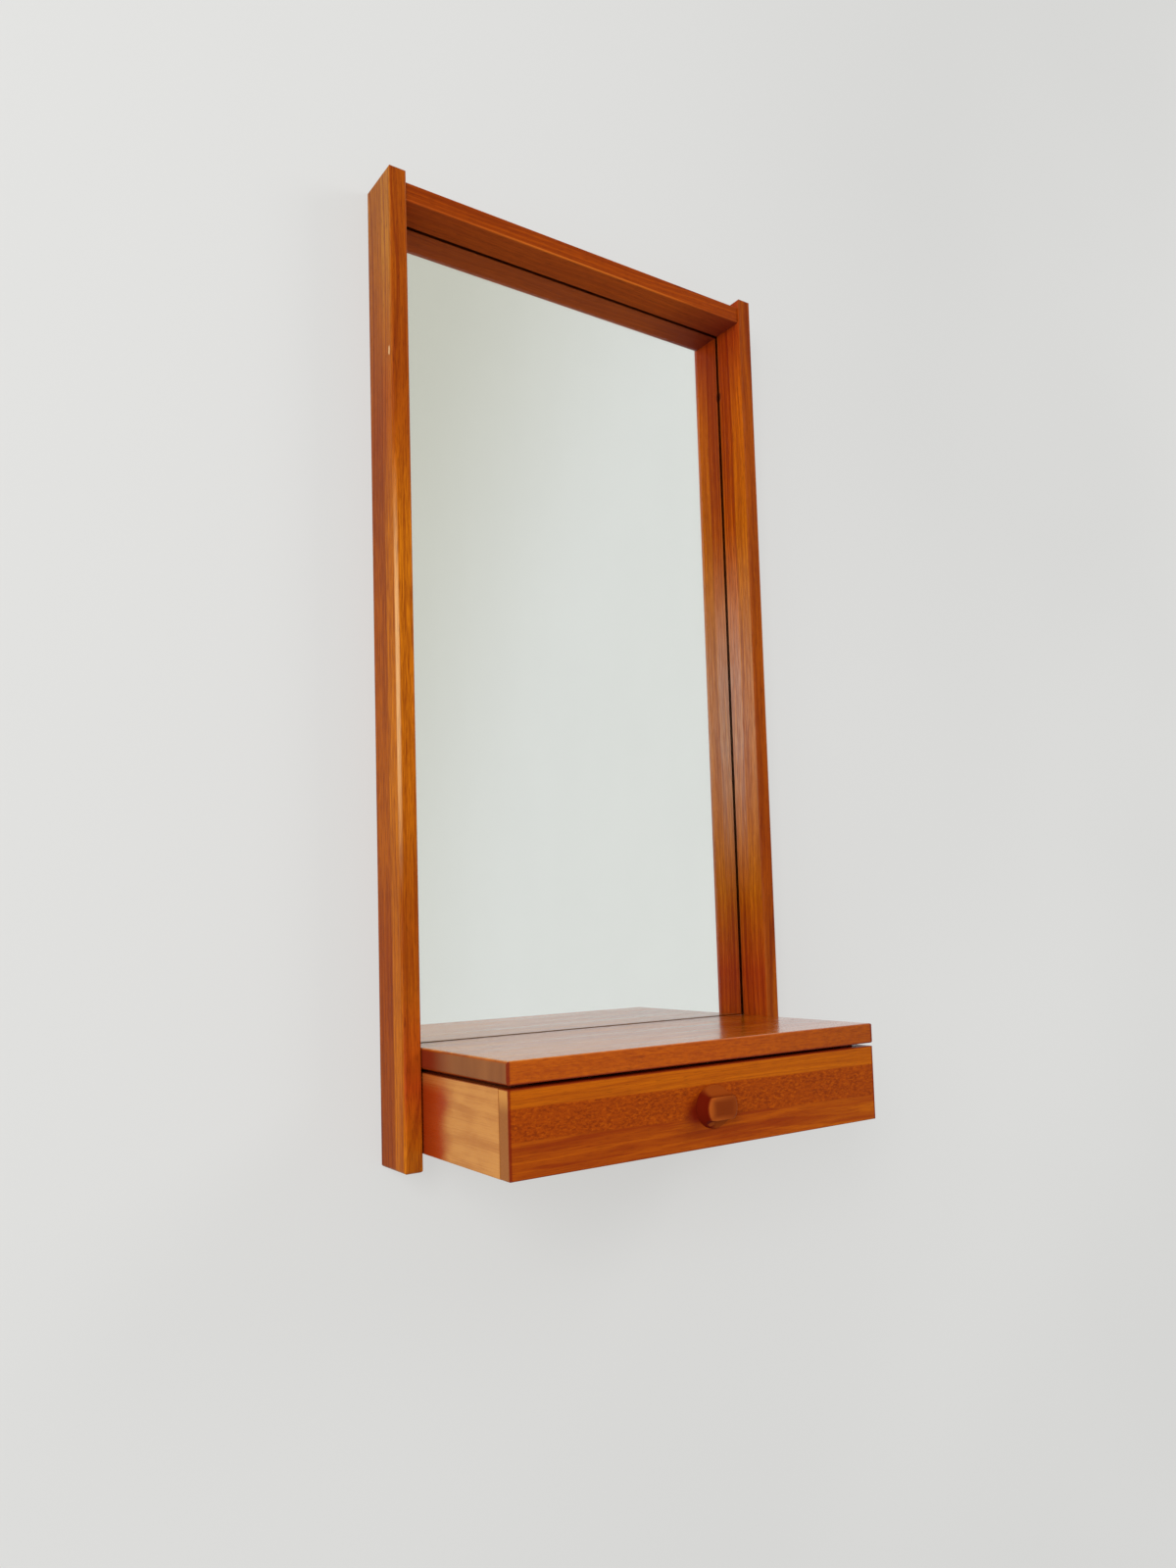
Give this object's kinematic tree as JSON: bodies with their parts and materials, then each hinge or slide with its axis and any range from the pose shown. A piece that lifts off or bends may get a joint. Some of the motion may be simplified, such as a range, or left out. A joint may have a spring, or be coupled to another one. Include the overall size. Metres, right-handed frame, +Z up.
{
  "type": "wall mirror with shelf and drawer",
  "caption": "Tall wall mirror in a teak frame, with a shelf that stands out at its foot and a drawer with a turned knob hanging under the shelf.",
  "frame": {"origin": "On the wall plane, half way between the two hanging eyes at the top of the frame's back", "axes": "+X to the right as seen by a person looking into the mirror, +Y into the wall, +Z up; the mirror and the drawer front face -Y"},
  "size_m": [0.39, 0.1845, 0.8],
  "materials": {
    "stile_wood": "satin oiled teak, straight grain",
    "rail_wood": "satin oiled teak, straight grain",
    "shelf_wood": "satin lacquered teak with a strong reflection at a low angle",
    "drawer_front_wood": "satin oiled teak, level bands of grain",
    "drawer_side_wood": "satin oiled teak, paler",
    "knob_wood": "satin oiled teak, end grain at the front",
    "beech": "plain planed beech",
    "plywood": "plain birch plywood",
    "clear_glass": "clear float glass",
    "silvering": "bright silver",
    "hardboard": "brown hardboard",
    "plate_steel": "zinc plated",
    "screw_steel": "plain steel"
  },
  "bodies": {
    "mirror_frame": {"left_stile": "stile_wood", "right_stile": "stile_wood", "top_rail": "rail_wood", "bottom_rail": "rail_wood", "top_rail_dowels": "beech", "bottom_rail_dowels": "beech", "shelf_board": "shelf_wood", "shelf_dowels": "beech", "mirror_glass": "clear_glass", "mirror_silvering": "silvering", "backing_board": "hardboard", "backing_pins": "screw_steel", "left_hanger_plate": "plate_steel", "right_hanger_plate": "plate_steel", "hanger_screws": "screw_steel", "left_runner": "beech", "right_runner": "beech", "runner_screws": "screw_steel"},
    "drawer": {"drawer_front": "drawer_front_wood", "left_drawer_side": "drawer_side_wood", "right_drawer_side": "drawer_side_wood", "drawer_back": "beech", "drawer_bottom": "plywood", "drawer_dowels": "beech", "drawer_bottom_pins": "screw_steel", "knob": "knob_wood", "knob_screw": "screw_steel"}
  },
  "joints": [
    {"name": "drawer_slide", "type": "slide", "parent": "mirror_frame", "child": "drawer", "axis": [0, -1, 0], "range_m": [0, 0.11]}
  ]
}
